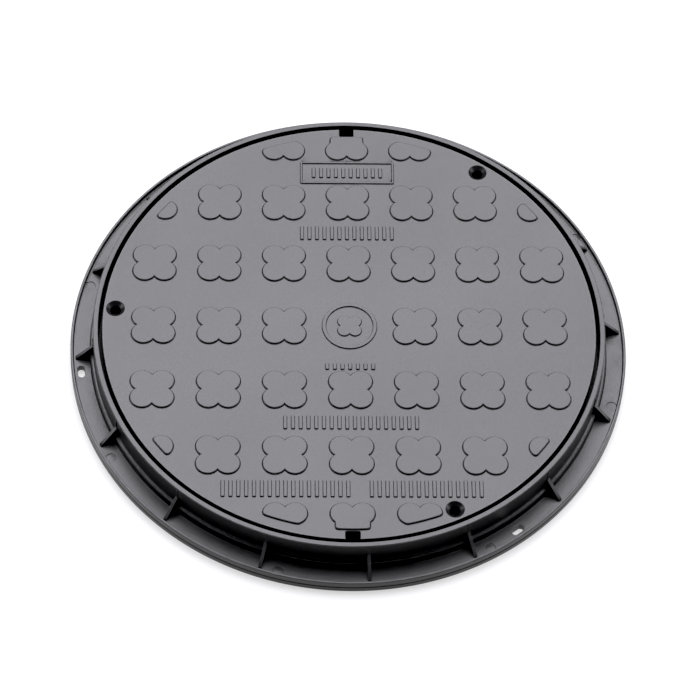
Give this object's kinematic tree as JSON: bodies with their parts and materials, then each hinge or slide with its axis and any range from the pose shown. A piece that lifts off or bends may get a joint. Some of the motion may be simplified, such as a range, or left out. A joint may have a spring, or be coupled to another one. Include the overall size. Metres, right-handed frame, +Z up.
{
  "type": "manhole cover and frame",
  "caption": "Round plastic access cover with clover-shaped tread lugs and lifting notches, screwed down on a seal in a gusseted ring frame with a kerbed, slotted flange.",
  "frame": {"origin": "centre of the frame's foot, on the surface it stands on", "axes": "+Z up along the frame's axis, +Y towards the rear lifting notch, +X to the right of the marks on the cover"},
  "size_m": [0.514, 0.514, 0.0418],
  "materials": {
    "frame_plastic": "satin moulded black-grey polypropylene with a fine grain",
    "cover_plastic": "satin moulded black-grey polypropylene with a fine grain",
    "seal_rubber": "matt moulded rubber",
    "screw_steel": "dark zinc-nickel coating, satin",
    "washer_steel": "stainless steel, lightly brushed",
    "insert_brass": "turned brass"
  },
  "bodies": {
    "frame": {"frame": "frame_plastic", "seal": "seal_rubber", "insert_1": "insert_brass", "insert_2": "insert_brass", "insert_3": "insert_brass"},
    "cover": {"cover": "cover_plastic"},
    "washer_1": {"washer_1": "washer_steel"},
    "screw_1": {"screw_1": "screw_steel"},
    "washer_2": {"washer_2": "washer_steel"},
    "screw_2": {"screw_2": "screw_steel"},
    "washer_3": {"washer_3": "washer_steel"},
    "screw_3": {"screw_3": "screw_steel"}
  },
  "joints": [
    {"name": "cover_lift", "type": "slide", "parent": "frame", "child": "cover", "axis": [0, 0, 1], "range_m": [0, 0.08]},
    {"name": "screw_1_rise", "type": "slide", "parent": "cover", "child": "washer_1", "axis": [0, 0, 1], "range_m": [0, 0.0088]},
    {"name": "screw_1_turn", "type": "hinge", "parent": "washer_1", "child": "screw_1", "pos_m": [0.12389, 0.17694, 0.022], "axis": [0, 0, 1], "range_deg": [0, 3960]},
    {"name": "screw_2_rise", "type": "slide", "parent": "cover", "child": "washer_2", "axis": [0, 0, 1], "range_m": [0, 0.0088]},
    {"name": "screw_2_turn", "type": "hinge", "parent": "washer_2", "child": "screw_2", "pos_m": [-0.21518, 0.01883, 0.022], "axis": [0, 0, 1], "range_deg": [0, 3960]},
    {"name": "screw_3_rise", "type": "slide", "parent": "cover", "child": "washer_3", "axis": [0, 0, 1], "range_m": [0, 0.0088]},
    {"name": "screw_3_turn", "type": "hinge", "parent": "washer_3", "child": "screw_3", "pos_m": [0.09129, -0.19576, 0.022], "axis": [0, 0, 1], "range_deg": [0, 3960]}
  ],
  "couplings": [
    {"joint": "screw_1_turn", "follows": "screw_1_rise", "rad_per_m": 7854},
    {"joint": "screw_2_turn", "follows": "screw_2_rise", "rad_per_m": 7854},
    {"joint": "screw_3_turn", "follows": "screw_3_rise", "rad_per_m": 7854}
  ]
}
